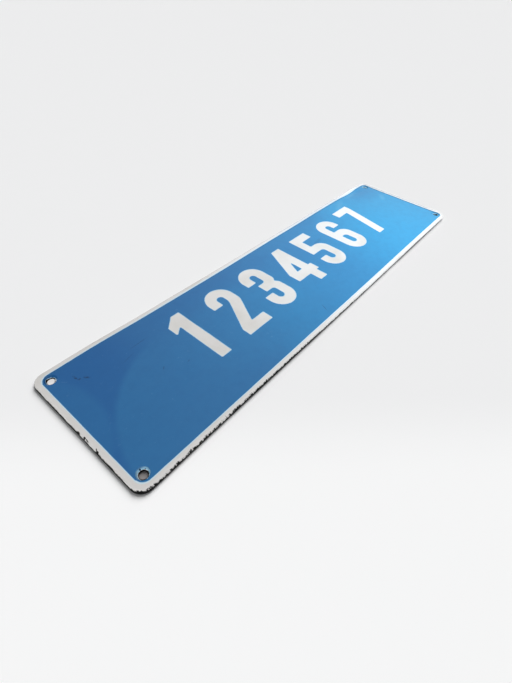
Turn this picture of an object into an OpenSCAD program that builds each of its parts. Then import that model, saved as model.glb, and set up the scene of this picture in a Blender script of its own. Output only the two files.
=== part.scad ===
// Long enamel plaque for a wall: one pressed steel sheet, coated all over.
// It lies face up with its origin under the middle of the turned-down rim.
// X runs along the length in reading direction, Z points out of the face.

/* [Sheet] */
// Length over the rim
plate_l = 470; // [400:5:600]
// Width over the rim
plate_w = 121; // [100:1:180]
// Height from the rim's lower edge to the white face
plate_h = 3.5; // [3:0.1:6]
// Thickness of the coated steel sheet
sheet_t = 1.5; // [1:0.1:2]
// Radius of the four corners, seen from above
corner_r = 9; // [7:0.5:16]
// Outer radius of the bend between face and rim
bend_r = 2.5; // [2.2:0.1:2.9]

/* [Colour field] */
// Width of the bare white border, from the rim's outside to the field
border_w = 5; // [4:0.5:9]
// Radius of the field's own corners
field_corner_r = 6; // [3:0.5:10]
// Thickness of the colour coat that stands proud of the white face
coat_t = 0.15; // [0.1:0.05:0.4]

/* [Fixing holes] */
// Diameter of the four fixing holes
hole_d = 5.5; // [4:0.1:7]
// Distance of a hole's centre from the rim's outside, both ways
hole_inset = 10.5; // [9:0.5:16]
// Depth of the rounded-in edge that the punch left at a hole
hole_edge = 0.4; // [0.2:0.1:0.6]
// Diameter, at the face, of the dish pressed in round a hole
dish_d = 9.4; // [8.6:0.1:11]
// Diameter of the dish's flat bottom
dish_floor_d = 7.2; // [6.4:0.1:8]
// Gap left between the dish's lower side and the wall
dish_gap = 0.1; // [0.1:0.1:0.8]

/* [Bent edge] */
// Place of the raised bend along the far long edge, from the end of the plaque
bump_from_end = 38; // [32:1:70]
// Length of the raised bend along the edge
bump_l = 44; // [30:1:60]
// How far the raised bend reaches in from the edge
bump_w = 10; // [8:0.5:16]
// Height of the raised bend above the white face
bump_h = 2; // [1:0.1:2.5]

/* [Hidden] */
$fn = 64;
long_arc_fn = 256;
overlap = 1;
field_l = plate_l - 2 * border_w;
field_w = plate_w - 2 * border_w;
hole_x = plate_l / 2 - hole_inset;
hole_y = plate_w / 2 - hole_inset;
dish_floor_z = dish_gap + sheet_t;
dish_slope = (dish_d - dish_floor_d) / 2 / (plate_h - dish_floor_z);
dish_wall_r = sheet_t * sqrt(1 + pow(dish_slope, 2));
bump_x = plate_l / 2 - bump_from_end;
bump_y = plate_w / 2;
bump_top_z = plate_h + bump_h;
bump_long_r = arc_radius(bump_l / 2, bump_h);
bump_cross_r = arc_radius(bump_w, bump_h);

// Radius of an arc that falls by drop at half_chord from its top.
function arc_radius(half_chord, drop) = (pow(half_chord, 2) + pow(drop, 2)) / (2 * drop);

// Radius of the dish's sloping upper side at a height.
function dish_r(z) = dish_floor_d / 2 + (z - dish_floor_z) * dish_slope;

// Section across an edge: full height inside, rounded over at the outside.
module edge_section(reach, height, ease) {
    square([reach - ease, height]);
    square([reach, height - ease]);
    intersection() {
        translate([reach - ease, height - ease]) circle(ease);
        translate([reach - ease, height - ease]) square(ease);
    }
}

// Straight stretch of edge, with its section pointing along +Y.
module edge_stretch(run, reach, height, ease) {
    rotate([90, 0, 90]) translate([0, 0, -run / 2])
        linear_extrude(run) edge_section(reach, height, ease);
}

// Slab with rounded corners and an eased upper edge all round.
module eased_slab(length, width, height, corner, ease) {
    run_x = length - 2 * corner;
    run_y = width - 2 * corner;
    translate([-run_x / 2, -run_y / 2, 0]) cube([run_x, run_y, height]);
    for (side = [0, 180]) {
        rotate(side) translate([0, run_y / 2, 0])
            edge_stretch(run_x, corner, height, ease);
        rotate(side + 90) translate([0, run_x / 2, 0])
            edge_stretch(run_y, corner, height, ease);
    }
    for (x = [-1, 1], y = [-1, 1])
        translate([x * run_x / 2, y * run_y / 2, 0])
            rotate(y > 0 ? (x > 0 ? 0 : 90) : (x > 0 ? 270 : 180))
                rotate_extrude(angle = 90) edge_section(corner, height, ease);
}

// Everything inside the sheet's upper skin, the white border and its bend.
module outer_form(height) {
    eased_slab(plate_l, plate_w, height, corner_r, bend_r);
}

// The hollow behind the face: the same form, smaller by the sheet's thickness.
module hollow_form(height) {
    translate([0, 0, -overlap])
        eased_slab(plate_l - 2 * sheet_t, plate_w - 2 * sheet_t, height - sheet_t + overlap,
            corner_r - sheet_t, bend_r - sheet_t);
}

// Barrel lying along the edge, whose upper side is the raised bend.
// less takes it in all over, by the sheet's thickness or out by the coat's.
module bump_barrel(less) {
    translate([bump_x, bump_y, bump_top_z - bump_cross_r])
        rotate([0, 90, 0]) rotate_extrude()
            intersection() {
                translate([bump_cross_r - bump_long_r, 0]) circle(bump_long_r - less, $fn = long_arc_fn);
                translate([0, -bump_l]) square([bump_cross_r + bump_h, 2 * bump_l]);
            }
}

// Flat outline with rounded corners, made thick.
module rounded_slab(length, width, height, corner) {
    run_x = length - 2 * corner;
    run_y = width - 2 * corner;
    translate([-length / 2, -run_y / 2, 0]) cube([length, run_y, height]);
    translate([-run_x / 2, -width / 2, 0]) cube([run_x, width, height]);
    for (x = [-1, 1], y = [-1, 1])
        translate([x * run_x / 2, y * run_y / 2, 0]) cylinder(h = height, r = corner);
}

// The same cutter at each of the four fixing holes.
module at_holes() {
    for (x = [-hole_x, hole_x], y = [-hole_y, hole_y])
        translate([x, y, 0]) children();
}

// Colour coat on the face and up the raised bend.
module colour_coat() {
    base_z = plate_h - sheet_t / 2;
    translate([0, 0, base_z])
        rounded_slab(field_l, field_w, sheet_t / 2 + coat_t, field_corner_r);
    intersection() {
        translate([0, 0, base_z])
            rounded_slab(field_l, field_w, sheet_t + bump_h, field_corner_r);
        bump_barrel(-coat_t);
    }
}

// Back of the dish: the sheet pressed down towards the wall, as thick as elsewhere.
module dish_back() {
    joined_z = plate_h - sheet_t / 2;
    rotate_extrude()
        polygon([[0, dish_gap], [dish_r(dish_gap) + dish_wall_r, dish_gap],
            [dish_r(joined_z) + dish_wall_r, joined_z], [0, joined_z]]);
}

// Hollow of the dish in the face, with the punched hole through its bottom.
module dish_cutter() {
    open_z = bump_top_z + overlap;
    rotate_extrude()
        polygon([[0, dish_floor_z], [dish_floor_d / 2, dish_floor_z],
            [dish_r(open_z), open_z], [0, open_z]]);
    translate([0, 0, -overlap]) cylinder(h = dish_floor_z + 2 * overlap, d = hole_d);
    translate([0, 0, dish_floor_z - hole_edge])
        cylinder(h = 2 * hole_edge, d1 = hole_d, d2 = hole_d + 4 * hole_edge);
}

// The whole plaque: pressed sheet with its bent edge, colour coat and dished holes.
module plaque() {
    color("steelblue")
    difference() {
        union() {
            difference() {
                union() {
                    outer_form(plate_h);
                    intersection() {
                        outer_form(bump_top_z);
                        bump_barrel(0);
                    }
                    colour_coat();
                }
                hollow_form(plate_h);
                intersection() {
                    hollow_form(bump_top_z);
                    bump_barrel(sheet_t);
                }
            }
            at_holes() dish_back();
        }
        at_holes() dish_cutter();
    }
}

plaque();
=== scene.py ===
# Long enamelled steel plaque, lying face up: white border, blue field and a row of plain figures.
# Places are in metres in the part's own frame: X along the length, Z out of the face. The tables of
# swells, marks and figure corners are in millimetres.
import math

import bpy
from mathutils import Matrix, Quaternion, Vector, geometry, noise


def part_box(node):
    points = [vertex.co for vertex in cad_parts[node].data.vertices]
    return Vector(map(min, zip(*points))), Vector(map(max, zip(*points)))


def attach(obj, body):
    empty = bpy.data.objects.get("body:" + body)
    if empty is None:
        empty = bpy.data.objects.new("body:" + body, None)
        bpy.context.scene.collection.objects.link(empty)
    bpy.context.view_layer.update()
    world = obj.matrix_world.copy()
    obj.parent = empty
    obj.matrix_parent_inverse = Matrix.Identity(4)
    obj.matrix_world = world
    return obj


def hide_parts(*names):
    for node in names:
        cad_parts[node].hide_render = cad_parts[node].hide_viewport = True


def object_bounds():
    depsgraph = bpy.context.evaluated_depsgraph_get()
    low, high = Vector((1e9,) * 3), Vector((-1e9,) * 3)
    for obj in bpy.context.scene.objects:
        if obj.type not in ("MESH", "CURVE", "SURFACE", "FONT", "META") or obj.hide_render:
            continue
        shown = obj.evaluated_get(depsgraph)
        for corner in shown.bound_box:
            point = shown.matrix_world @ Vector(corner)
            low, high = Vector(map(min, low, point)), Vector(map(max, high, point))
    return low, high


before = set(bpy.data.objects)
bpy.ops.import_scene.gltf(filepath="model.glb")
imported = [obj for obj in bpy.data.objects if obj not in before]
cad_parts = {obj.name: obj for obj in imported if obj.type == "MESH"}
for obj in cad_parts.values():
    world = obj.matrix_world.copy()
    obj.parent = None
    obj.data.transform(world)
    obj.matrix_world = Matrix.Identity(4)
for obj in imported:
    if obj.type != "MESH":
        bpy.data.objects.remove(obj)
cad_low, cad_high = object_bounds()
mm = 0.001

# Pressed steel sheet
# One blank of thin steel whose four sides were turned down in a press into a low rim, with the screw
# holes punched from the face. It has a black ground coat all over, and a white enamel fired over the
# face. The sheet has warped a little, and one long side was knocked up near its far end.
plaque_low, plaque_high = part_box("plaque")
half_l = (plaque_high.x - plaque_low.x) / 2
half_w = (plaque_high.y - plaque_low.y) / 2
face_h = 3.5 * mm
sheet_t = 1.5 * mm
back_h = face_h - sheet_t
bend_r = 2.5 * mm
rim_ease = 0.25 * mm
hole_r = 2.75 * mm
hole_ease = 0.4 * mm
hole_inset = 10.5 * mm
hole_x = half_l - hole_inset
hole_y = half_w - hole_inset
hole_places = [Vector((x, y)) for x in (-hole_x, hole_x) for y in (-hole_y, hole_y)]
dish_gap = 0.1 * mm
dish_flat_r = 3.25 * mm
dish_turn = math.radians(62)
dish_shoulder_r = 0.35 * mm
dish_toe_r = 0.45 * mm

# Corner radii, anticlockwise from the corner at +X and -Y
corner_radii = [11 * mm, 9 * mm, 9 * mm, 9 * mm]

# The near long side bows inward, and more so towards its far end: each bow's depth and the run over
# which it sets in, and between which distances from the middle of the width both fade out
near_bow = 0.4 * mm
near_bow_run = 40 * mm
far_bow = 0.5 * mm
far_bow_run = (20 * mm, 160 * mm)
bow_fade = (30 * mm, 48 * mm)

# Each swell of the sheet: its centre, its reach both ways and its height, in millimetres
sheet_swells = (
    (168, -5, 62, 110, 0.85),
    (-186, 62, 28, 24, 0.8),
    (110, -62, 46, 22, 0.35),
    (20, 64, 38, 24, 0.3),
    (-60, -64, 34, 20, 0.2),
)
ripple_height = 0.12 * mm
ripple_l = 55 * mm
ripple_w = 40 * mm

# The knocked-up stretch of the far long side, with a shallow dip inward of it
knock_x = 201 * mm
knock_half_length = 23 * mm
knock_reach = 10 * mm
knock_height = 1.5 * mm
knock_dip = 0.3 * mm
knock_dip_inset = 13.5 * mm
knock_dip_reach = 6 * mm

# How far apart points lie along an outline, inside it, and inside it at the knocked-up stretch, the
# share of that which they keep from an outline, and how close two points are one
outline_step = 3 * mm
grid_step = 4 * mm
fine_step = 1.6 * mm
clear_share = 0.45
same_place = 1e-7


def ramp(value, start, end):
    """Rises evenly from 0 at one value to 1 at another."""
    return min(max((value - start) / (end - start), 0), 1)


def bell(distance, reach):
    """A smooth swell of height 1 that dies away past its reach."""
    return math.exp(-(distance / reach) ** 2)


def hump(distance, reach):
    """A smooth swell of height 1 that ends at its reach."""
    share = min(abs(distance) / reach, 1)
    return (1 - share * share) ** 2


def sheet_lift(x, y):
    """How far the warped sheet stands above a flat one at this place."""
    lift = 0
    for centre_x, centre_y, reach_x, reach_y, height in sheet_swells:
        share = bell(x - centre_x * mm, reach_x * mm) * bell(y - centre_y * mm, reach_y * mm)
        lift += height * mm * share
    ripple = noise.noise(Vector((x / ripple_l, y / ripple_w, 3.7)))
    lift += ripple_height * (1 + ripple)
    inward = half_w - y
    along = hump(x - knock_x, knock_half_length)
    lift += knock_height * along * hump(inward, knock_reach)
    lift -= knock_dip * along * hump(inward - knock_dip_inset, knock_dip_reach)
    return max(lift, 0)


def lifted_normal(x, y, normal):
    """The direction that a surface faces once the sheet under it has warped."""
    reach = 0.2 * mm
    slope_x = (sheet_lift(x + reach, y) - sheet_lift(x - reach, y)) / (2 * reach)
    slope_y = (sheet_lift(x, y + reach) - sheet_lift(x, y - reach)) / (2 * reach)
    turned = Vector((normal.x - slope_x * normal.z, normal.y - slope_y * normal.z, normal.z))
    return turned.normalized()


def oblong_outline(reach_x, reach_y, radii, step):
    """Points of an oblong with round corners, anticlockwise from the one at +X and -Y, each point with
    its outward direction."""
    outline = []
    arc_steps = 12
    corners = ((1, -1, -90), (1, 1, 0), (-1, 1, 90), (-1, -1, 180))
    for index, (side_x, side_y, start) in enumerate(corners):
        radius = radii[index]
        centre = Vector((side_x * (reach_x - radius), side_y * (reach_y - radius)))
        for k in range(arc_steps + 1):
            angle = math.radians(start + 90 * k / arc_steps)
            outward = Vector((math.cos(angle), math.sin(angle)))
            outline.append((centre + radius * outward, outward))
        last, outward = outline[-1]
        next_x, next_y = corners[(index + 1) % 4][:2]
        next_radius = radii[(index + 1) % 4]
        next_centre = Vector((next_x * (reach_x - next_radius), next_y * (reach_y - next_radius)))
        first = next_centre + next_radius * outward
        steps = round((first - last).length / step)
        for k in range(1, steps):
            outline.append((last.lerp(first, k / steps), outward))
    return outline


class Skin:
    """A closed mesh in the making: points that follow the warped sheet, and the faces between them."""

    def __init__(self):
        self.points = []
        self.normals = []
        self.values = []
        self.faces = []

    def add(self, place, height, normal, value):
        """Adds a point at a height above the flat sheet's rim and returns its number."""
        lifted = plaque_low.z + height + sheet_lift(place.x, place.y)
        self.points.append(Vector((place.x, place.y, lifted)))
        self.normals.append(lifted_normal(place.x, place.y, normal))
        self.values.append(value)
        return len(self.points) - 1

    def ring(self, outline, inset, height, tilt, values=None):
        """Adds a ring inside an outline. It faces up at a tilt of 0 degrees, outward at 90 and down at
        180; values defaults to zeros."""
        numbers = []
        slant = math.radians(tilt)
        for k, (place, outward) in enumerate(outline):
            flat = outward.normalized() * math.sin(slant)
            normal = Vector((flat.x, flat.y, math.cos(slant)))
            value = values[k] if values else 0.0
            numbers.append(self.add(place - inset * outward, height, normal, value))
        return numbers

    def band(self, lower, upper):
        """Faces between two rings; the lower one is the outer one."""
        count = len(lower)
        for k in range(count):
            after = (k + 1) % count
            self.faces.append((lower[k], lower[after], upper[after], upper[k]))

    def piece(self, name, value_name):
        """Makes the object, with smooth faces that keep the worked-out directions."""
        mesh = bpy.data.meshes.new(name)
        mesh.from_pydata(self.points, [], self.faces)
        mesh.shade_smooth()
        mesh.normals_split_custom_set_from_vertices(self.normals)
        values = mesh.attributes.new(value_name, "FLOAT", "POINT")
        for k, value in enumerate(self.values):
            values.data[k].value = value
        made = bpy.data.objects.new(name, mesh)
        bpy.context.scene.collection.objects.link(made)
        return made


def inside(place, loop):
    """Whether a place lies inside a closed outline."""
    found = False
    before = loop[-1]
    for after in loop:
        if (before.y > place.y) != (after.y > place.y):
            crossing = before.x + (place.y - before.y) * (after.x - before.x) / (after.y - before.y)
            if place.x < crossing:
                found = not found
        before = after
    return found


def loop_box(loop):
    """Lowest and highest corner of a closed outline."""
    low = Vector((min(p.x for p in loop), min(p.y for p in loop)))
    high = Vector((max(p.x for p in loop), max(p.y for p in loop)))
    return low, high


def within(place, box, margin):
    """Whether a place lies in a box that is a margin larger on each side."""
    low, high = box
    in_x = low.x - margin < place.x < high.x + margin
    in_y = low.y - margin < place.y < high.y + margin
    return in_x and in_y


def clear_of(place, loop, margin):
    """Whether a place keeps a margin from a closed outline."""
    before = loop[-1]
    for after in loop:
        share = min(max(geometry.intersect_point_line(place, before, after)[1], 0), 1)
        if (before.lerp(after, share) - place).length < margin:
            return False
        before = after
    return True


def fill(loops, fine_low, fine_high):
    """Fills the region to the left of all the outlines with small triangles, smaller ones in a fine
    area. Returns the places of all points, the outlines' own first, and the triangles."""
    boxes = [loop_box(loop) for loop in loops]
    places = [place for loop in loops for place in loop]
    edges = []
    start = 0
    for loop in loops:
        edges += [(start + k, start + (k + 1) % len(loop)) for k in range(len(loop))]
        start += len(loop)
    for grid_low, grid_high, step in ((*boxes[0], grid_step), (fine_low, fine_high, fine_step)):
        count_x = round((grid_high.x - grid_low.x) / step)
        count_y = round((grid_high.y - grid_low.y) / step)
        for i in range(1, count_x):
            for j in range(1, count_y):
                place = Vector((grid_low.x + (grid_high.x - grid_low.x) * i / count_x,
                                grid_low.y + (grid_high.y - grid_low.y) * j / count_y))
                if step == grid_step and within(place, (fine_low, fine_high), 0):
                    continue
                around = [k for k, box in enumerate(boxes) if within(place, box, step)]
                enclosed = sum(inside(place, loops[k]) for k in around) % 2
                if enclosed and all(clear_of(place, loops[k], clear_share * step) for k in around):
                    places.append(place)
    result = geometry.delaunay_2d_cdt(places, edges, [], 0, same_place, True)
    new_places, triangles, origins = result[0], result[2], result[3]
    number = {}
    for new, old in enumerate(origins):
        if not old:
            raise ValueError(f"outlines cross near {new_places[new]}")
        number[new] = old[0]
    on_left = set(edges)
    on_right = {(b, a) for a, b in edges}
    kept = []
    for triangle in triangles:
        corners = tuple(number[k] for k in triangle)
        sides = {(corners[k - 1], corners[k]) for k in range(3)}
        centre = (new_places[triangle[0]] + new_places[triangle[1]] + new_places[triangle[2]]) / 3
        around = [loops[k] for k, box in enumerate(boxes) if within(centre, box, 0)]
        enclosed = sum(inside(centre, loop) for loop in around) % 2
        if sides & on_left or (enclosed and not sides & on_right):
            kept.append(corners)
    return places, kept


def close_skin(skin, loops, fine_low, fine_high, top, under):
    """Closes a skin between its outlines, above and below. Each side gives the numbers of its points
    on the outlines, and the height and the value of the points that come between them."""
    top_numbers, top_height, top_value = top
    under_numbers, under_height, under_value = under
    up = Vector((0, 0, 1))
    places, triangles = fill(loops, fine_low, fine_high)
    for place in places[len(top_numbers):]:
        top_numbers.append(skin.add(place, top_height, up, top_value))
        under_numbers.append(skin.add(place, under_height, -up, under_value))
    for a, b, c in triangles:
        skin.faces.append((top_numbers[a], top_numbers[b], top_numbers[c]))
        skin.faces.append((under_numbers[c], under_numbers[b], under_numbers[a]))


# How far down the bend the white enamel reaches, in millimetres: on the two far sides, on the near
# long side, on the near end, and at most in the near corner. Then the runs over which it gains reach
# along the near long side, and the places where it gains or loses some along the near end.
white_on_far_sides = 4.4
white_on_near_side = 2.35
white_on_near_end = 2.5
white_in_near_corner = 1.9
near_side_gains = ((-90, -30, 0.95), (0, 80, 1.2), (150, 200, 0.7))
near_end_changes = ((-12, 4, 0.5), (-21, 3, -0.3), (-33, 2, -0.5))
white_waver = 0.25
white_waver_l = 9


def white_ends_at(place, outward):
    """How far down the bend the white enamel reaches before the black ground coat shows."""
    x = place.x / mm
    y = place.y / mm
    reach = white_on_far_sides
    if outward.y < -0.3:
        gains = [gain * ramp(x, start, end) for start, end, gain in near_side_gains]
        reach = white_on_near_side + sum(gains)
    if outward.x < -0.3 and outward.y > -0.7:
        changes = [change * bell(y - centre, width) for centre, width, change in near_end_changes]
        reach = white_on_near_end + sum(changes)
    if outward.x < -0.1 and outward.y < -0.1:
        reach = min(reach, white_in_near_corner)
    reach += white_waver * noise.noise(Vector((x / white_waver_l, y / white_waver_l, 0.3)))
    return reach * mm


sheet = Skin()
rim_outline = oblong_outline(half_l, half_w, corner_radii, outline_step)
for place, outward in rim_outline:
    bow = near_bow * (1 - bell(place.x + half_l, near_bow_run)) + far_bow * ramp(place.x, *far_bow_run)
    place.y += bow * ramp(-place.y, *bow_fade)
white_reach = [white_ends_at(place, outward) for place, outward in rim_outline]


def below_white(path):
    """For each place round the rim, how far a point at this path down the bend is past the white."""
    return [path - reach for reach in white_reach]


def on_back(path):
    """The same for the sheet's black back, where each point counts as well past the white."""
    return [back_past] * len(rim_outline)


def bend_rings(radius, inset, steps, facing, values_at):
    """Rings over the bend from the rim's wall to the face, or under it if facing is 180 degrees."""
    rings = []
    for step in range(steps + 1):
        turn = 90 * (1 - step / steps)
        angle = math.radians(turn)
        in_by = inset + radius * (1 - math.sin(angle))
        height = straight_h + radius * math.cos(angle)
        rings.append(sheet.ring(rim_outline, in_by, height, facing + turn, values_at(radius * angle)))
    return rings


# How far past the white's edge the face's and the back's points count as being
face_past = -3 * mm
back_past = 6 * mm

# An eased edge's middle lies in from its corner by this share of its size
eased_in = 0.3
rim_mid = eased_in * rim_ease
straight_h = face_h - bend_r
wall_end = bend_r * math.pi / 2 + straight_h
outer_rings = [
    sheet.ring(rim_outline, rim_ease, 0, 180, below_white(wall_end)),
    sheet.ring(rim_outline, rim_mid, rim_mid, 135, below_white(wall_end)),
    sheet.ring(rim_outline, 0, rim_ease, 90, below_white(wall_end - rim_ease)),
]
outer_rings += bend_rings(bend_r, 0, 10, 0, below_white)
inner_rings = [
    sheet.ring(rim_outline, sheet_t - rim_ease, 0, 180, on_back(0)),
    sheet.ring(rim_outline, sheet_t - rim_mid, rim_mid, 225, on_back(0)),
    sheet.ring(rim_outline, sheet_t, rim_ease, 270, on_back(0)),
]
inner_rings += bend_rings(bend_r - sheet_t, sheet_t, 6, 180, on_back)

for lower, upper in zip(outer_rings, outer_rings[1:]):
    sheet.band(lower, upper)
sheet.band(inner_rings[0], outer_rings[0])
for lower, upper in zip(inner_rings, inner_rings[1:]):
    sheet.band(upper, lower)

# The section of a dish: a rounded shoulder, a straight slope and a rounded toe, then its flat
dish_floor_h = dish_gap + sheet_t
toe_end_r = dish_flat_r + dish_toe_r * math.sin(dish_turn)
toe_end_h = dish_floor_h + dish_toe_r * (1 - math.cos(dish_turn))
slope_top_h = face_h - dish_shoulder_r * (1 - math.cos(dish_turn))
slope_run = (slope_top_h - toe_end_h) / math.sin(dish_turn)
slope_top_r = toe_end_r + slope_run * math.cos(dish_turn)
dish_open_r = slope_top_r + dish_shoulder_r * math.sin(dish_turn)
shoulder_path = dish_shoulder_r * dish_turn
toe_path = dish_toe_r * dish_turn
dish_path = shoulder_path + slope_run + toe_path
dish_segments = 44


def dish_section(path, proud=0.0):
    """Radius, height and slant of the dish at a path down it, for a skin that stands proud of it."""
    if path < shoulder_path:
        turn = path / dish_shoulder_r
        radius = dish_open_r - dish_shoulder_r * math.sin(turn)
        height = face_h - dish_shoulder_r * (1 - math.cos(turn))
    elif path < shoulder_path + slope_run:
        turn = dish_turn
        radius = slope_top_r - (path - shoulder_path) * math.cos(turn)
        height = slope_top_h - (path - shoulder_path) * math.sin(turn)
    elif path < dish_path:
        turn = (dish_path - path) / dish_toe_r
        radius = dish_flat_r + dish_toe_r * math.sin(turn)
        height = dish_floor_h + dish_toe_r * (1 - math.cos(turn))
    else:
        turn = 0
        radius = dish_flat_r - (path - dish_path)
        height = dish_floor_h
    return radius - proud * math.sin(turn), height + proud * math.cos(turn), math.degrees(turn)


def angle_between(degrees, other):
    """The angle from one direction to another, from -180 to 180 degrees."""
    return (degrees - other + 180) % 360 - 180


# How far down each dish the blue and the white enamel reach, as shares of the way to its flat, and
# the chips up its side: their direction in degrees, their half width and the share left there
dish_looks = (
    (1.02, 1.03, ((-110, 95, 0.88),)),
    (1.06, 1.08, ((122, 24, 0.62), (45, 42, 0.95))),
    (1.0, 1.6, ((-20, 35, 0.7),)),
    (1.05, 1.6, ()),
)


def enamel_path(hole_number, degrees, is_blue):
    """How far down a dish one of the enamels reaches in one direction, past the chips."""
    blue_share, white_share, chips = dish_looks[hole_number]
    heading = math.radians(degrees)
    where = Vector((1.7 * math.cos(heading), 1.7 * math.sin(heading), 5.3 * hole_number))
    whole = blue_share if is_blue else white_share
    share = whole + 0.05 * noise.noise(where)
    for chip_at, half_width, left in chips:
        share -= (whole - left) * bell(angle_between(degrees, chip_at), half_width)
    return share * dish_path


def dish_ring(skin, centre, sections, values):
    """A ring round a hole, clockwise, with its own radius, height and slant in each direction."""
    numbers = []
    for k, (radius, height, turn) in enumerate(sections):
        heading = -2 * math.pi * k / dish_segments
        spoke = Vector((math.cos(heading), math.sin(heading)))
        slant = math.radians(turn)
        normal = Vector((-spoke.x * math.sin(slant), -spoke.y * math.sin(slant), math.cos(slant)))
        numbers.append(skin.add(centre + radius * spoke, height, normal, values[k]))
    return numbers


dish_degrees = [-360 * k / dish_segments for k in range(dish_segments)]
shoulder_steps = [shoulder_path * k / 4 for k in range(5)]
slope_steps = [shoulder_path + slope_run * k / 5 for k in range(1, 5)]
toe_steps = [dish_path - toe_path * (1 - k / 3) for k in range(4)]
dish_steps = [(dish_section(path), path) for path in shoulder_steps + slope_steps + toe_steps]

# Each ring from the dish's flat to the hole's wall: its radius, height and slant, and the path to it
past_wall = dish_path + 1.6 * mm
past_dish = dish_path + 3 * mm
hole_mid = eased_in * hole_ease
dish_steps += [
    ((hole_r + hole_ease, dish_floor_h, 0), dish_path + dish_flat_r - hole_r - hole_ease),
    ((hole_r + hole_mid, dish_floor_h - hole_mid, 45), dish_path + 0.5 * mm),
    ((hole_r, dish_floor_h - hole_ease, 90), dish_path + 0.8 * mm),
]

# The dish's back, from its lowest ring up to the back of the face
boss_ease = 0.1 * mm
boss_r = dish_gap / math.tan(dish_turn) + dish_flat_r + sheet_t * math.tan(dish_turn / 2)
boss_top_r = boss_r + (back_h - dish_gap) / math.tan(dish_turn)
boss_sections = (
    (boss_r, dish_gap, 180),
    (boss_r + boss_ease, dish_gap + boss_ease, 240),
    (boss_top_r, back_h - boss_ease, 240),
    (boss_top_r + 0.3 * mm, back_h, 180),
)

# For each hole, how much wider its lower end is and how far a lip of enamel stands into it, then the
# lip's direction and half width in degrees
hole_flares = (0, 0.8 * mm, 0, 0)
hole_lips = (0, 0.7 * mm, 0, 0)
lip_direction = -40
lip_half_width = 50

face_loops = [[place - bend_r * outward for place, outward in rim_outline]]
hole_rings = []
for hole_number, centre in enumerate(hole_places):
    reach = [enamel_path(hole_number, degrees, False) for degrees in dish_degrees]
    lips = [hole_lips[hole_number] * bell(angle_between(degrees, lip_direction), lip_half_width)
            for degrees in dish_degrees]
    lower_r = hole_r + hole_flares[hole_number]
    steps = dish_steps + [
        ((lower_r, dish_gap + 0.25 * mm, 90), past_wall),
        ((lower_r + 0.1 * mm, dish_gap, 180), past_dish),
    ]
    steps += [(section, past_dish) for section in boss_sections]
    rings = []
    for (radius, height, turn), path in steps:
        has_lip = radius < dish_flat_r or path == past_wall
        sections = [(radius - lip if has_lip else radius, height, turn) for lip in lips]
        rings.append(dish_ring(sheet, centre, sections, [path - end for end in reach]))
    for upper, lower in zip(rings, rings[1:]):
        sheet.band(lower, upper)
    hole_rings.append(rings)
    face_loops.append([Vector(sheet.points[k].xy) for k in rings[0]])

# The fine area round the knocked-up stretch
knock_low = Vector((knock_x - 1.2 * knock_half_length, half_w - 2.4 * knock_reach))
knock_high = Vector((knock_x + 1.2 * knock_half_length, half_w - 2.7 * mm))
top_numbers = outer_rings[-1] + [k for rings in hole_rings for k in rings[0]]
back_numbers = inner_rings[-1] + [k for rings in hole_rings for k in rings[-1]]
close_skin(sheet, face_loops, knock_low, knock_high, (top_numbers, face_h, face_past),
           (back_numbers, back_h, back_past))
steel_sheet = sheet.piece("enamelled_sheet", "past_white")


def new_material(name):
    """A material with its shader and the place on the object, in metres, to feed its nodes from."""
    material = bpy.data.materials.new(name)
    material.use_nodes = True
    nodes = material.node_tree.nodes
    return material, nodes["Principled BSDF"], nodes.new("ShaderNodeTexCoord").outputs["Object"]


def is_output(value):
    """Whether a value is another node's output, and not a number or a colour."""
    return isinstance(value, bpy.types.NodeSocket)


def feed(node, feeds):
    """Sets some of a node's sockets to a number or colour, or feeds them from other nodes."""
    for key, value in feeds.items():
        if is_output(value):
            value.id_data.links.new(value, node.inputs[key])
        else:
            node.inputs[key].default_value = value


def fed(kind, feeds, **settings):
    """A new node, beside the first node that feeds it."""
    beside = next(value for value in feeds.values() if is_output(value))
    made = beside.id_data.nodes.new(kind)
    for key, value in settings.items():
        setattr(made, key, value)
    feed(made, feeds)
    return made


def stored(where, name):
    """A value that the mesh holds at each of its points."""
    made = where.id_data.nodes.new("ShaderNodeAttribute")
    made.attribute_name = name
    return made.outputs["Fac"]


def along_and_across(where):
    """A place's two measures in the plane of the sheet."""
    split = fed("ShaderNodeSeparateXYZ", {"Vector": where})
    return split.outputs["X"], split.outputs["Y"]


def noise_at(where, scale, detail, roughness):
    """A cloudy pattern; a larger scale makes it finer."""
    feeds = {"Vector": where, "Scale": scale, "Detail": detail, "Roughness": roughness}
    return fed("ShaderNodeTexNoise", feeds).outputs["Fac"]


def stretched(where, scale, turn=0.0):
    """The place, turned in the sheet's plane and stretched, for streaks."""
    feeds = {"Vector": where, "Scale": scale, "Rotation": (0, 0, math.radians(turn))}
    return fed("ShaderNodeMapping", feeds).outputs["Vector"]


def between(value, low, high, out_low=0.0, out_high=1.0):
    """Carries a value from one range smoothly into another."""
    feeds = {"Value": value, "From Min": low, "From Max": high, "To Min": out_low, "To Max": out_high}
    return fed("ShaderNodeMapRange", feeds, interpolation_type="SMOOTHSTEP").outputs["Result"]


def worked_out(operation, first, second=0.0):
    """What one step of arithmetic makes of two values."""
    return fed("ShaderNodeMath", {0: first, 1: second}, operation=operation).outputs["Value"]


def plus(first, second):
    """Two values added."""
    return worked_out("ADD", first, second)


def less(first, second):
    """The first value less the second."""
    return worked_out("SUBTRACT", first, second)


def times(first, second):
    """Two values multiplied."""
    return worked_out("MULTIPLY", first, second)


def larger(first, second):
    """The larger of two values."""
    return worked_out("MAXIMUM", first, second)


def mixed(factor, first, second):
    """Two colours mixed by a factor."""
    first, second = [colour if is_output(colour) else (*colour, 1) for colour in (first, second)]
    return fed("ShaderNodeMix", {0: factor, 6: first, 7: second}, data_type="RGBA").outputs[2]


def tinted(colour, tint, mask, share):
    """A colour with a share of a tint over it, where the mask lets it through."""
    return mixed(times(mask, share), colour, tint)


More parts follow.
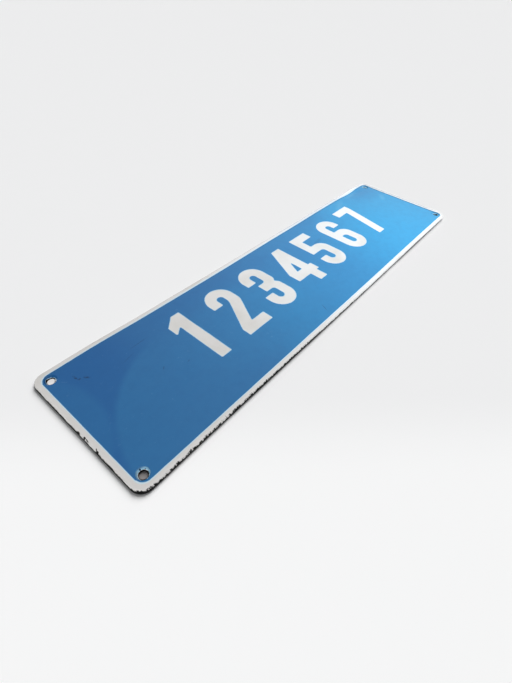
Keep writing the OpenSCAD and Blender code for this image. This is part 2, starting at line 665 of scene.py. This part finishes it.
def patch_at(where, x, y, reach_x, reach_y, turn=0, hardness=0.3):
    """How far a place lies within an oval patch seen from above, whose sizes are in millimetres."""
    level = fed("ShaderNodeVectorMath", {0: where, 1: (1.0, 1.0, 0.0)}, operation="MULTIPLY")
    feeds = {"Vector": level.outputs["Vector"], "Location": (x * mm, y * mm, 0),
             "Rotation": (0, 0, math.radians(turn)), "Scale": (reach_x * mm, reach_y * mm, 1)}
    mapping = fed("ShaderNodeMapping", feeds, vector_type="TEXTURE")
    away = fed("ShaderNodeVectorMath", {0: mapping.outputs["Vector"]}, operation="LENGTH")
    return between(away.outputs["Value"], hardness, 1.0, 1.0, 0.0)


peel_depth = 0.04 * mm


def glaze_normal(where, ledge=None):
    """The slight orange peel that fired enamel has, and the ledge at which a coat ends: its mask,
    strength and depth."""
    peel = noise_at(where, 260.0, 2.0, 0.45)
    swell = noise_at(where, 45.0, 2.0, 0.4)
    height = plus(peel, times(swell, 4.0))
    feeds = {"Height": height, "Strength": 0.35, "Distance": peel_depth}
    normal = fed("ShaderNodeBump", feeds).outputs["Normal"]
    if ledge:
        mask, strength, depth = ledge
        feeds = {"Height": mask, "Strength": strength, "Distance": depth, "Normal": normal}
        normal = fed("ShaderNodeBump", feeds).outputs["Normal"]
    return normal


# The white enamel's tones, from the warm near end to the far end, which is painted brighter where more
# light falls, its tints, and the tones of the ground coat and its rust
warm_white = (0.737, 0.729, 0.72)
clean_white = (0.73, 0.74, 0.745)
painted_lit_white = (0.85, 0.86, 0.87)
aged_white = (0.63, 0.62, 0.59)
shaded_end_white = (0.56, 0.60, 0.64)
dull_white = (0.66, 0.72, 0.78)
powdered_white = (0.63, 0.80, 0.91)
thin_white = (0.42, 0.44, 0.46)
ground_black = (0.003, 0.003, 0.0035)
ground_grey = (0.014, 0.0135, 0.013)
rust_brown = (0.12, 0.055, 0.03)

# Chips in the rim of the near end: place, reach both ways and turn. Then how much each kind of
# damage moves the white's lower edge.
rim_chips = (
    (-233.9, -5.4, 1.0, 1.4, 0), (-233.9, -8.0, 0.5, 2.4, -8),
    (-233.6, -17.4, 0.6, 1.7, -20), (-234.3, -19.2, 1.1, 1.5, 0), (-234.4, 0.6, 0.8, 1.8, 0),
)
chip_depth = 2 * mm
ragged_depth = 0.8 * mm
crumb_depth = 0.3 * mm

# The oblong that the line of stray powder follows: its middle, half sizes and corner radius
powder_middle_x = -0.65 * mm
powder_middle_y = -0.3 * mm
powder_half_l = half_l - 5.35 * mm
powder_half_w = half_w - 4.45 * mm
powder_r = 6.2 * mm

# Darker tones in the dishes at the far end, by the hole's number
dish_tone_reach = 4.7
dish_tones = {2: (0.03, 0.09, 0.13), 3: (0.16, 0.26, 0.31)}


def ground_colour(where):
    """Black ground coat, speckled with grey and here and there rusty."""
    speckle = between(noise_at(where, 900.0, 3.0, 0.6), 0.5, 0.72)
    rust = between(noise_at(where, 120.0, 4.0, 0.6), 0.62, 0.75)
    return tinted(mixed(speckle, ground_black, ground_grey), rust_brown, rust, 0.3)


white_enamel, shader, where = new_material("white enamel over black ground coat")
along, across = along_and_across(where)

# The white's lower edge is ragged, most of all on the near long side and there at its near end
past = stored(where, "past_white")
on_near_side = between(across, -half_w + 9 * mm, -half_w + 4 * mm, 0.25, 1.0)
worn_side = times(on_near_side, between(along, -160 * mm, -90 * mm, 1.0, 0.55))
ragged = noise_at(stretched(where, (1.0, 0.3, 0.3)), 760.0, 3.0, 0.7)
ragged = between(ragged, 0.36, 0.64, -ragged_depth, ragged_depth)
crumbs = between(noise_at(where, 1100.0, 2.0, 0.6), 0.42, 0.62, -crumb_depth, crumb_depth)
edge = plus(past, times(plus(ragged, crumbs), worn_side))
for x, y, reach_x, reach_y, turn in rim_chips:
    chip = patch_at(where, x, y, reach_x, reach_y, turn)
    edge = plus(edge, times(chip, chip_depth))
bare = between(edge, -0.08 * mm, 0.12 * mm)

age = noise_at(where, 28.0, 4.0, 0.55)
white = mixed(between(along, -100 * mm, 100 * mm), warm_white, clean_white)
# Painted light: the white grows brighter towards the far end, where more light falls
white = mixed(between(along, 60 * mm, 200 * mm), white, painted_lit_white)
white = mixed(between(age, 0.45, 0.8), white, aged_white)

# Painted shade on the bend at the far end, and duller along the far long border
painted_end_shade = between(along, half_l - 5 * mm, half_l - 3.5 * mm, 0.0, 0.9)
painted_end_shade = times(painted_end_shade, between(across, -50 * mm, -35 * mm))
white = mixed(painted_end_shade, white, shaded_end_white)
white = tinted(white, dull_white, patch_at(where, 108, 60.5, 85, 12, 0, 0.5), 0.75)

# A pale line of stray blue powder along the outside of the field
from_middle_x = worked_out("ABSOLUTE", plus(along, -powder_middle_x))
from_middle_y = worked_out("ABSOLUTE", plus(across, -powder_middle_y))
past_x = less(from_middle_x, powder_half_l - powder_r)
past_y = less(from_middle_y, powder_half_w - powder_r)
corner_way = fed("ShaderNodeCombineXYZ", {"X": larger(past_x, 0), "Y": larger(past_y, 0)})
beyond = fed("ShaderNodeVectorMath", {0: corner_way.outputs["Vector"]}, operation="LENGTH")
beyond = less(beyond.outputs["Value"], powder_r)
powder = times(between(beyond, -2 * mm, -1 * mm), between(beyond, 0.1 * mm, 0.8 * mm, 1.0, 0.0))
white = tinted(white, powdered_white, powder, 0.8)
for hole_number, dish_tone in dish_tones.items():
    x, y = hole_places[hole_number] / mm
    dish_patch = patch_at(where, x, y, dish_tone_reach, dish_tone_reach, 0, 0.85)
    white = tinted(white, dish_tone, dish_patch, 0.9)
white = tinted(white, thin_white, between(edge, -0.6 * mm, 0.0), 0.35)

feed(shader, {
    "Base Color": mixed(bare, white, ground_colour(where)),
    "Roughness": between(bare, 0.0, 1.0, 0.17, 0.5),
    "Metallic": times(bare, 0.85),
    "IOR": 1.5,
    "Normal": glaze_normal(where, (bare, 0.9, -0.12 * mm)),
})

ground_coat, shader, where = new_material("black ground coat")
feed(shader, {"Base Color": ground_colour(where), "Roughness": 0.6, "Specular IOR Level": 0.15})

# Faces that the ragged white hardly reaches have the plain ground coat: how far past the white's edge
# they start, on the near long side and elsewhere
near_side_w = 8 * mm
near_side_past = 0.75 * mm
elsewhere_past = 0.35 * mm
steel_sheet.data.materials.append(white_enamel)
steel_sheet.data.materials.append(ground_coat)
for polygon in steel_sheet.data.polygons:
    is_near = polygon.center.y < -half_w + near_side_w
    starts = near_side_past if is_near else elsewhere_past
    if min(sheet.values[k] for k in polygon.vertices) > starts:
        polygon.material_index = 1
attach(steel_sheet, "root")
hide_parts("plaque")

# Blue enamel coat
# A second enamel, dusted over the white through a stencil and fired, so it stands slightly proud. It
# stops short of the border, of the screw holes and of the row of figures, where the white shows. Its
# edges fired out thin and pale, and it is a little lighter towards the far end, partly its own tone
# and partly painted light.
border_w = 5 * mm
field_corner_radii = [6 * mm, 6 * mm, 6.2 * mm, 6.2 * mm]
coat_t = 0.15 * mm
coat_sunk = 0.06 * mm
coat_ease = 0.1 * mm
pale_w = 0.7 * mm
field_pale_w = 0.3 * mm
field_waver = 0.1 * mm
figure_waver = 0.12 * mm
waver_l = 6 * mm

# The stencil lay a little askew: how far out the near side and near end of the field are, how far in
# its far end is, with a hollow over most of its width, and where the far side goes in, or out if
# negative: the place, the reach and how far, in millimetres
near_side_out = 0.8 * mm
near_end_out = 0.3 * mm
far_end_in = 0.25 * mm
far_end_hollow = 0.8 * mm
far_end_hollow_w = 48 * mm
far_side_dents = ((-70, 85, 0.6), (190, 17, 1.6), (115, 45, -0.4))

# The figures' sizes and places, in millimetres, then the usual step along their straights and the
# shortest between two points
figure_h = 60.6
figure_w = 28.0
stroke_w = 10.0
figure_base_y = -21.2
figure_pitch = 43.9
first_figure_x = -124.4
convex_r = 0.7
concave_r = 1.1
figure_step = 3.5
finest_step = 0.02


def figure_outlines():
    """The figures 1 to 7 as corners with their radius, in millimetres from the middle of the base."""
    out = figure_w / 2
    top = figure_h
    gap = out - stroke_w
    bow = out
    bow_in = gap
    one = [((-3, 0), (7, 0), (7, top), (-1, top), (-11, top - 9), (-11, top - 19.5), (-3, top - 13))]
    two = [((-out, 0), (out, 0), (out, stroke_w), (-1, stroke_w), (out, 37, 12), (out, top, bow),
            (-out, top, bow), (-out, top - 20), (-gap, top - 20), (-gap, top - stroke_w, bow_in),
            (gap, top - stroke_w, bow_in), (gap, 40.4, 12), (-out, 8))]
    waist = top / 2
    bar = stroke_w / 2
    three = [((-out, 20), (-out, 0, bow), (out, 0, bow), (out, waist - 4, 4), (out - 3.2, waist, 1.3),
              (out, waist + 4, 4), (out, top, bow), (-out, top, bow), (-out, top - 20),
              (-gap, top - 20), (-gap, top - stroke_w, bow_in), (gap, top - stroke_w, bow_in),
              (gap, waist + bar, 3.4), (-6, waist + bar), (-6, waist - bar), (gap, waist - bar, 3.4),
              (gap, stroke_w, bow_in), (-gap, stroke_w, bow_in), (-gap, 20))]
    four = [((2, 0), (12, 0), (12, 12.5), (16, 12.5), (16, 22.5), (12, 22.5), (12, top), (1, top),
             (-16, 24.5), (-16, 12.5), (2, 12.5)),
            ((2, 22.5, 1.2), (2, 39.2, 0.95), (-5.9, 22.5, 1))]
    five = [((out - 1, top), (-out + 1, top), (-out + 1, 28.5), (gap, 28.5, bow_in),
             (gap, stroke_w, bow_in), (-gap, stroke_w, bow_in), (-gap, 19), (-out, 19), (-out, 0, bow),
             (out, 0, bow), (out, 38.5, 11), (-3, 38.5), (-3, top - stroke_w),
             (out - 1, top - stroke_w))]
    six = [((out, top - 18), (out, top, bow), (-out, top, bow), (-out, 0, bow), (out, 0, bow),
            (out, 36.5, 11), (-gap, 36.5), (-gap, top - stroke_w, bow_in),
            (gap, top - stroke_w, bow_in), (gap, top - 18)),
           ((-gap, stroke_w, bow_in), (gap, stroke_w, bow_in), (gap, 26.5, bow_in), (-gap, 26.5, 1.6))]
    seven = [((-out, top), (-out, top - stroke_w), (2.8, top - stroke_w), (-8.5, 0), (1.9, 0),
              (out, 54.2, 3), (out, top))]
    return (one, two, three, four, five, six, seven)


def loop_area(corners):
    """The area inside a closed outline, negative if its corners go clockwise."""
    area = 0
    for k, corner in enumerate(corners):
        before = corners[k - 1]
        area += before[0] * corner[1] - corner[0] * before[1]
    return area / 2


def rounded_loop(corners):
    """A closed outline through corners, each rounded by its radius, with steps along its straights."""
    if loop_area(corners) < 0:
        corners = corners[::-1]
    points = []
    for k, corner in enumerate(corners):
        here = Vector(corner[:2])
        before = Vector(corners[k - 1][:2])
        after = Vector(corners[(k + 1) % len(corners)][:2])
        come = (here - before).normalized()
        leave = (after - here).normalized()
        turn = math.atan2(come.x * leave.y - come.y * leave.x, come.dot(leave))
        radius = corner[2] if len(corner) > 2 else (convex_r if turn > 0 else concave_r)
        back = radius * math.tan(abs(turn) / 2)
        side = 1 if turn > 0 else -1
        centre = here - back * come + side * radius * Vector((-come.y, come.x))
        start = here - back * come - centre
        steps = max(3, math.ceil(abs(turn) * math.sqrt(radius) / 0.42))
        for i in range(steps + 1):
            angle = turn * i / steps
            spoke = Vector((start.x * math.cos(angle) - start.y * math.sin(angle),
                            start.x * math.sin(angle) + start.y * math.cos(angle)))
            points.append(centre + spoke)
    loop = []
    for k, point in enumerate(points):
        after = points[(k + 1) % len(points)]
        if (after - point).length < finest_step:
            continue
        steps = max(1, round((after - point).length / figure_step))
        for i in range(steps):
            loop.append(point.lerp(after, i / steps))
    return loop


def with_outward(loop, waver):
    """Gives each point of an anticlockwise loop its outward direction, and a hand-cut waver."""
    outline = []
    for k, point in enumerate(loop):
        come = (point - loop[k - 1]).normalized()
        leave = (loop[(k + 1) % len(loop)] - point).normalized()
        first = Vector((come.y, -come.x))
        second = Vector((leave.y, -leave.x))
        outward = (first + second) / (1 + first.dot(second))
        shift = waver * noise.noise(Vector((point.x / waver_l, point.y / waver_l, 8.1)))
        outline.append((point + shift * outward, outward))
    return outline


def turned_round(outline):
    """The same outline seen from its other side, for a coat that lies outside it."""
    return [(place, -outward) for place, outward in reversed(outline)]


field_outline = oblong_outline(half_l - border_w, half_w - border_w, field_corner_radii, outline_step)
for place, outward in field_outline:
    if outward.y < -0.3:
        place.y += near_side_out * outward.y
    if outward.y > 0.99:
        dents = [depth * bell(place.x / mm - centre, width) for centre, width, depth in far_side_dents]
        place.y -= sum(dents) * mm
    if outward.x < -0.99:
        place.x -= near_end_out
    if outward.x > 0.99:
        hollow = max(1 - (place.y / far_end_hollow_w) ** 6, 0)
        place.x -= far_end_in + far_end_hollow * hollow
field_loop = [place for place, outward in field_outline]
coat_outlines = [(with_outward(field_loop, field_waver), field_pale_w)]
for figure_number, outlines in enumerate(figure_outlines()):
    centre = Vector((first_figure_x + figure_pitch * figure_number, figure_base_y))
    for number, corners in enumerate(outlines):
        loop = [(centre + place) * mm for place in rounded_loop(corners)]
        outline = with_outward(loop, figure_waver)
        coat_outlines.append((outline if number else turned_round(outline), pale_w))

# The coat's brim at each outline: a foot, a wall, an eased edge and a flat that fades to full depth
coat = Skin()
coat_base = face_h - coat_sunk
coat_top = face_h + coat_t
coat_mid = eased_in * coat_ease
top_numbers = []
base_numbers = []
coat_loops = []
for outline, fade in coat_outlines:
    full = [1.0] * len(outline)
    foot = coat.ring(outline, 0, coat_base, 90)
    wall = coat.ring(outline, 0, coat_top - coat_ease, 90)
    brow = coat.ring(outline, coat_mid, coat_top - coat_mid, 45)
    rise = coat.ring(outline, coat_ease, coat_top, 0)
    brink = coat.ring(outline, fade, coat_top, 0, full)
    under = coat.ring(outline, fade, coat_base, 180, full)
    for lower, upper in ((foot, wall), (wall, brow), (brow, rise), (rise, brink), (under, foot)):
        coat.band(lower, upper)
    top_numbers += brink
    base_numbers += under
    coat_loops.append([Vector(coat.points[k].xy) for k in brink])

# The coat runs on down into each dish, thinner and paler towards its chipped edge: at each hole, the
# depth of blue left at that edge, and how late it fades. It stops just short of the dish's white.
edge_depth = (0.0, 0.1, 0.3, 0.4)
fade_power = (0.6, 6, 0.8, 0.8)
edge_share = 0.7
blue_short = 0.1 * mm
dish_rings = 8
for hole_number, centre in enumerate(hole_places):
    reach = [enamel_path(hole_number, degrees, True) - blue_short for degrees in dish_degrees]
    rings = []
    for proud in (-coat_sunk, coat_t):
        for k in range(dish_rings + 1):
            share = k / dish_rings
            lift = proud if k < dish_rings else edge_share * proud
            sections = [dish_section(share * end, lift) for end in reach]
            thin = 1 - (1 - edge_depth[hole_number]) * share ** fade_power[hole_number]
            rings.append(dish_ring(coat, centre, sections, [thin] * dish_segments))
    under_rings = rings[:dish_rings + 1]
    upper_rings = rings[dish_rings + 1:][::-1]
    for lower, upper in zip(under_rings + upper_rings, under_rings[1:] + upper_rings):
        coat.band(lower, upper)
    top_numbers += upper_rings[-1]
    base_numbers += under_rings[0]
    coat_loops.append([Vector(coat.points[k].xy) for k in upper_rings[-1]])
coat_knock_high = Vector((knock_high.x, half_w - 6 * mm))
close_skin(coat, coat_loops, knock_low, coat_knock_high, (top_numbers, coat_top, 1.0),
           (base_numbers, coat_base, 1.0))
blue_coat = coat.piece("blue_enamel_coat", "coat_depth")

# The blue from the near end to the far end, lighter there partly by painted light, its pale fired-out
# edge, its painted shade and reflections, and its marks
deep_blue = (0.022, 0.160, 0.392)
light_blue = (0.020, 0.335, 0.655)
edge_blue = (0.42, 0.73, 0.92)
shaded_blue = (0.012, 0.115, 0.345)
reflected_blue = (0.13, 0.46, 0.70)
brink_blue = (0.015, 0.14, 0.28)
scuff_blue = (0.006, 0.03, 0.09)
mottle_blue = (0.01, 0.09, 0.27)

# Places where the blue is a little deeper, and where the far side is shaded: centre, reach both ways
# and how much
deep_places = ((42, -20, 105, 160, 0.07), (-118, -58, 50, 26, 0.045))
far_side_shades = ((90, 54, 45, 26, 0.8), (208, 46, 50, 34, 0.9))

# Painted reflections, pale streaks towards the far end: place, reach both ways, turn and strength
painted_reflections = ((214.5, 19, 13, 5, 38, 0.35), (150, 45, 22, 6, 25, 0.3), (186, 50, 20, 5, 4, 0.25))

# Scuffs and scratches, darker than the enamel round them: place, reach both ways, turn and strength
scuffs = (
    (-212.3, 39.7, 3.2, 1.1, 100, 0.9), (-211, 36.4, 1.6, 1.2, 0, 1.0),
    (-206.6, 34, 3.2, 1.3, -50, 0.9), (-224.1, -46.4, 0.7, 0.6, 0, 2.2),
    (-221.6, -48.2, 0.55, 0.5, 0, 1.8), (-162, 34.6, 12, 0.5, 3, 0.45),
    (-164.5, 2.2, 2.2, 0.8, 40, 0.5), (-147.7, -5.9, 2.0, 0.7, 20, 0.4),
    (-24, -46.5, 6.0, 0.6, 66, 0.45), (-176, 28, 9, 0.4, 14, 0.3), (60, 18, 14, 3, 10, 0.15),
)

blue_enamel, shader, where = new_material("blue enamel")
along, across = along_and_across(where)
cloud = noise_at(stretched(where, (0.6, 1.0, 1.0)), 14.0, 3.0, 0.5)
cloud = times(less(cloud, 0.5), 0.09)
# Partly painted light: the blue lightens along a slant towards the far end, where more light falls
slant_to_lit_end = plus(along, between(across, -20 * mm, 50 * mm, 0.0, -55 * mm))
dips = [times(patch_at(where, x, y, reach_x, reach_y, 0, 0.0), depth)
        for x, y, reach_x, reach_y, depth in deep_places]
lightness_and_painted_light = less(plus(slant_to_lit_end, cloud), plus(*dips))
blue = mixed(between(lightness_and_painted_light, -200 * mm, 210 * mm), deep_blue, light_blue)

far_shade = times(between(across, 15 * mm, 50 * mm), between(along, 40 * mm, -80 * mm))
for x, y, reach_x, reach_y, share in far_side_shades:
    shade = times(patch_at(where, x, y, reach_x, reach_y, 0, 0.0), share)
    far_shade = larger(far_shade, shade)
blue = tinted(blue, shaded_blue, far_shade, 0.34)

# A painted dark reflection lies over the near end outside a wide arc, but for a narrow strip along
# the end itself
inside_arc = patch_at(where, -140, -60, 93, 93, 0, 0.93)
end_strip = patch_at(where, -253, 15, 43, 57, 4, 0.84)
dark_reflection = times(less(1.0, inside_arc), between(along, -140 * mm, -190 * mm))
dark_reflection = times(dark_reflection, less(1.0, times(end_strip, 0.6)))
blue = tinted(blue, shaded_blue, dark_reflection, 0.8)
# Painted reflections: pale streaks towards the far end
for x, y, reach_x, reach_y, turn, strength in painted_reflections:
    blue = tinted(blue, reflected_blue, patch_at(where, x, y, reach_x, reach_y, turn, 0.0), strength)

# A dark line along the far end and the far long side
brink = between(along, half_l - 9.5 * mm, half_l - 7.3 * mm, 0.0, 0.75)
far_brink = between(across, half_w - 8.5 * mm, half_w - 5.5 * mm, 0.0, 0.45)
far_brink = times(far_brink, between(along, -200 * mm, 100 * mm, 0.6, 1.0))
blue = mixed(larger(brink, far_brink), blue, brink_blue)

# Pale where the coat fired out thin, then the scuffs and a fine mottle over all
depth = stored(where, "coat_depth")
uneven = less(noise_at(where, 380.0, 3.0, 0.6), 0.5)
depth = plus(depth, times(uneven, 0.8))
blue = tinted(blue, edge_blue, between(depth, 0.9, 0.2), 0.85)
crumble = noise_at(where, 700.0, 2.0, 0.6)
for x, y, reach_x, reach_y, turn, strength in scuffs:
    broken = between(crumble, 0.4, 0.55, 0.2, strength)
    blue = tinted(blue, scuff_blue, patch_at(where, x, y, reach_x, reach_y, turn), broken)
mottle = noise_at(where, 160.0, 5.0, 0.6)
blue = mixed(between(mottle, 0.35, 0.75, 0.0, 0.12), blue, mottle_blue)
smear = noise_at(stretched(where, (1.0, 5.0, 1.0), 24), 22.0, 4.0, 0.6)
feed(shader, {
    "Base Color": blue,
    "Roughness": between(smear, 0.4, 0.75, 0.13, 0.24),
    "IOR": 1.5,
    "Normal": glaze_normal(where),
})

blue_coat.data.materials.append(blue_enamel)
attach(blue_coat, "root")

# Floor
# A plain pale board that the plaque lies on, a little duller towards the back. Under the screw holes
# it carries painted shade, which darkens most openings, and under the hole on the left a painted glow
# that makes that opening pale.
floor_reach = 9
floor_sunk = 0.02 * mm
floor_z = cad_low.z - floor_sunk
pale_board = (0.97, 0.97, 0.97)
dull_board = (0.897, 0.897, 0.90)

# The direction in which the board gets duller, and the run over which it does
duller_x = 0.732
duller_y = 0.681
duller_run = (-206 * mm, -136 * mm)

# The floor's painted shade under each hole, the hole with a painted glow for the camera, and its
# strength
painted_shade_under_holes = ((0.31, 0.285, 0.275), (0.1, 0.1, 0.1), (0.08, 0.09, 0.12), (0.2, 0.27, 0.33))
bright_hole = 1
painted_hole_glow = 0.68

floor_mesh = bpy.data.meshes.new("floor")
floor_sides = ((-1, -1), (1, -1), (1, 1), (-1, 1))
floor_corners = [(floor_reach * x, floor_reach * y, floor_z) for x, y in floor_sides]
floor_mesh.from_pydata(floor_corners, [], [(0, 1, 2, 3)])
floor = bpy.data.objects.new("floor", floor_mesh)
bpy.context.scene.collection.objects.link(floor)
board, shader, where = new_material("pale board")
along, across = along_and_across(where)
far = plus(times(along, duller_x), times(across, duller_y))
tone = mixed(between(far, *duller_run), pale_board, dull_board)
under_holes = []
for hole, under_tone in zip(hole_places, painted_shade_under_holes):
    away = fed("ShaderNodeVectorMath", {0: where, 1: (*hole, floor_z)}, operation="DISTANCE")
    under_holes.append(between(away.outputs["Value"], 6 * mm, 8 * mm, 1.0, 0.0))
    tone = mixed(under_holes[-1], tone, under_tone)
# Painted glow: the floor under the left hole glows for camera rays
seen = where.id_data.nodes.new("ShaderNodeLightPath").outputs["Is Camera Ray"]
feed(shader, {
    "Base Color": tone,
    "Roughness": 0.9,
    "Specular IOR Level": 0.1,
    "Emission Color": (1, 0.98, 0.97, 1),
    "Emission Strength": times(times(under_holes[bright_hole], seen), painted_hole_glow),
})
floor_mesh.materials.append(board)

# Light
# A dim dome, which gloss sees brighter, most of all beyond the far end, and the camera nearly white. A
# soft lamp beyond the far end lights the floor, where it leaves the plaque's shadow along the near
# sides. A very broad soft lamp lights the plaque, and a small one its far end.
dome_strength = 0.25
seen_strength = 0.85
shine_low = 0.4
shine_high = 0.75
shine_way = (0.95, -0.3, 0)
world = bpy.data.worlds.new("soft studio")
bpy.context.scene.world = world
world.use_nodes = True
nodes = world.node_tree.nodes
rays = nodes.new("ShaderNodeLightPath")
direction = nodes.new("ShaderNodeTexCoord").outputs["Generated"]
far_way = fed("ShaderNodeVectorMath", {0: direction, 1: shine_way}, operation="DOT_PRODUCT")
shine = between(far_way.outputs["Value"], -0.15, 0.5, shine_low, shine_high)
glossy_share = times(less(shine, dome_strength), rays.outputs["Is Glossy Ray"])
camera_share = times(seen_strength - dome_strength, rays.outputs["Is Camera Ray"])
strength = plus(plus(glossy_share, camera_share), dome_strength)
feed(nodes["Background"], {"Color": (0.98, 0.99, 1.0, 1), "Strength": strength})


def aimed(lamp, place, target, receivers):
    """Puts a lamp at a place, facing a target, to light only the named objects."""
    made = bpy.data.objects.new(lamp.name, lamp)
    bpy.context.scene.collection.objects.link(made)
    made.location = place
    made.rotation_euler = (Vector(target) - Vector(place)).to_track_quat("-Z", "Y").to_euler()
    made.visible_glossy = False
    lit = bpy.data.collections.new("lit by " + lamp.name)
    for receiver in receivers:
        lit.objects.link(receiver)
    made.light_linking.receiver_collection = lit


floor_sun = bpy.data.lights.new("floor sun", "SUN")
floor_sun.energy = 3.24
floor_sun.angle = math.radians(40)
aimed(floor_sun, (0.76, 0.4, 0.8), (0, 0, 0), [floor])

plaque_sun = bpy.data.lights.new("plaque sun", "SUN")
plaque_sun.energy = 1.88
plaque_sun.color = (1.0, 0.985, 0.965)
plaque_sun.angle = math.radians(75)
aimed(plaque_sun, (-0.25, -0.2, 0.95), (0, 0, 0), [steel_sheet, blue_coat])

end_spot = bpy.data.lights.new("end spot", "SPOT")
end_spot.energy = 2.5
end_spot.color = (0.95, 1.0, 1.05)
end_spot.spot_size = math.radians(100)
end_spot.spot_blend = 1
end_spot.shadow_soft_size = 0.04
aimed(end_spot, (0.14, -0.13, 0.3), (0.13, -0.02, 0), [steel_sheet, blue_coat])

# Camera
# Low over the near corner with a wide lens, looking along the plaque to its far end, and turned a
# little about its own axis.
camera_place = Vector((-264.47, -151.69, 220.66)) * mm
camera_aim = Vector((-97.6, -29.39, 3.65)) * mm
camera_roll = math.radians(5.497)
camera_data = bpy.data.cameras.new("camera")
camera_data.lens = 19.925
camera_data.sensor_width = 36
camera_data.clip_start = 0.005
camera_data.clip_end = 50
camera = bpy.data.objects.new("camera", camera_data)
bpy.context.scene.collection.objects.link(camera)
camera.location = camera_place
facing = (camera_aim - camera_place).to_track_quat("-Z", "Y") @ Quaternion((0, 0, 1), camera_roll)
camera.rotation_mode = "QUATERNION"
camera.rotation_quaternion = facing
bpy.context.scene.camera = camera
bpy.context.scene.view_settings.view_transform = "Standard"
